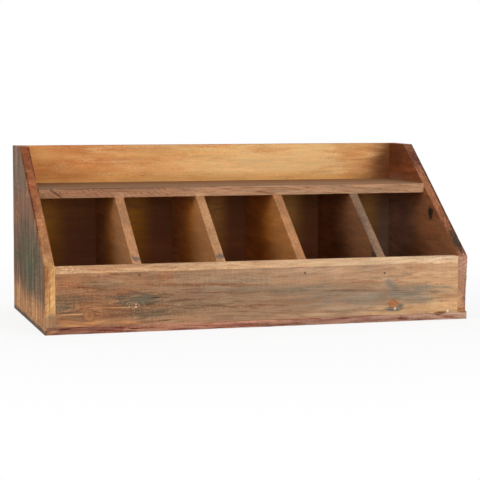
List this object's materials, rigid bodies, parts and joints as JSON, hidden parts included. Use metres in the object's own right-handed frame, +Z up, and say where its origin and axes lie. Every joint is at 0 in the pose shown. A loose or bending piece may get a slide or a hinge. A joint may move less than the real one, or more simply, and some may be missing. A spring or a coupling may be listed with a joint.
{
  "type": "cutlery caddy",
  "caption": "Open wooden box of reclaimed boards with a low front, sloping sides, dividers that make compartments for cutlery, and a shelf over their back half.",
  "frame": {"origin": "on the table, under the middle of the base board's footprint", "axes": "+X along the caddy's length to the right as seen from the low front, +Y towards the back board, +Z up"},
  "size_m": [0.6, 0.28, 0.24],
  "materials": {
    "base_wood": "reddish brown reclaimed board, waxed, rough-sawn edges",
    "left_side_wood": "weathered grey-brown board with dark stains, upright grain",
    "right_side_wood": "dark red-brown reclaimed board, waxed, upright grain",
    "front_wood": "brown-tan reclaimed board with grey stains and knots, planed pale top edge",
    "back_wood": "honey-gold waxed board",
    "shelf_wood": "grey-brown board, pinkish sawn front edge with saw marks",
    "divider_wood": "golden-brown board, tan-pink sawn edges, iron stains",
    "nail_steel": "dull dark steel, set below the surface"
  },
  "bodies": {
    "root": {"base_board": "base_wood", "left_side": "left_side_wood", "right_side": "right_side_wood", "front_board": "front_wood", "back_board": "back_wood", "shelf_board": "shelf_wood", "divider_1": "divider_wood", "divider_2": "divider_wood", "divider_3": "divider_wood", "divider_4": "divider_wood", "left_front_nail_1": "nail_steel", "left_front_nail_2": "nail_steel", "left_back_nail_1": "nail_steel", "left_back_nail_2": "nail_steel", "left_back_nail_3": "nail_steel", "left_shelf_nail_1": "nail_steel", "left_shelf_nail_2": "nail_steel", "right_front_nail_1": "nail_steel", "right_front_nail_2": "nail_steel", "right_back_nail_1": "nail_steel", "right_back_nail_2": "nail_steel", "right_back_nail_3": "nail_steel", "right_shelf_nail_1": "nail_steel", "right_shelf_nail_2": "nail_steel", "base_left_nail_1": "nail_steel", "base_left_nail_2": "nail_steel", "base_left_nail_3": "nail_steel", "base_right_nail_1": "nail_steel", "base_right_nail_2": "nail_steel", "base_right_nail_3": "nail_steel", "base_front_nail_1": "nail_steel", "base_front_nail_2": "nail_steel", "base_back_nail_1": "nail_steel", "base_back_nail_2": "nail_steel", "front_divider_nail_1": "nail_steel", "front_divider_nail_2": "nail_steel", "front_divider_nail_3": "nail_steel", "front_divider_nail_4": "nail_steel", "back_divider_nail_1": "nail_steel", "back_divider_nail_2": "nail_steel", "back_divider_nail_3": "nail_steel", "back_divider_nail_4": "nail_steel", "shelf_divider_nail_1": "nail_steel", "shelf_divider_nail_2": "nail_steel", "shelf_divider_nail_3": "nail_steel", "shelf_divider_nail_4": "nail_steel", "base_divider_nail_1_1": "nail_steel", "base_divider_nail_1_2": "nail_steel", "base_divider_nail_2_1": "nail_steel", "base_divider_nail_2_2": "nail_steel", "base_divider_nail_3_1": "nail_steel", "base_divider_nail_3_2": "nail_steel", "base_divider_nail_4_1": "nail_steel", "base_divider_nail_4_2": "nail_steel"}
  },
  "joints": []
}
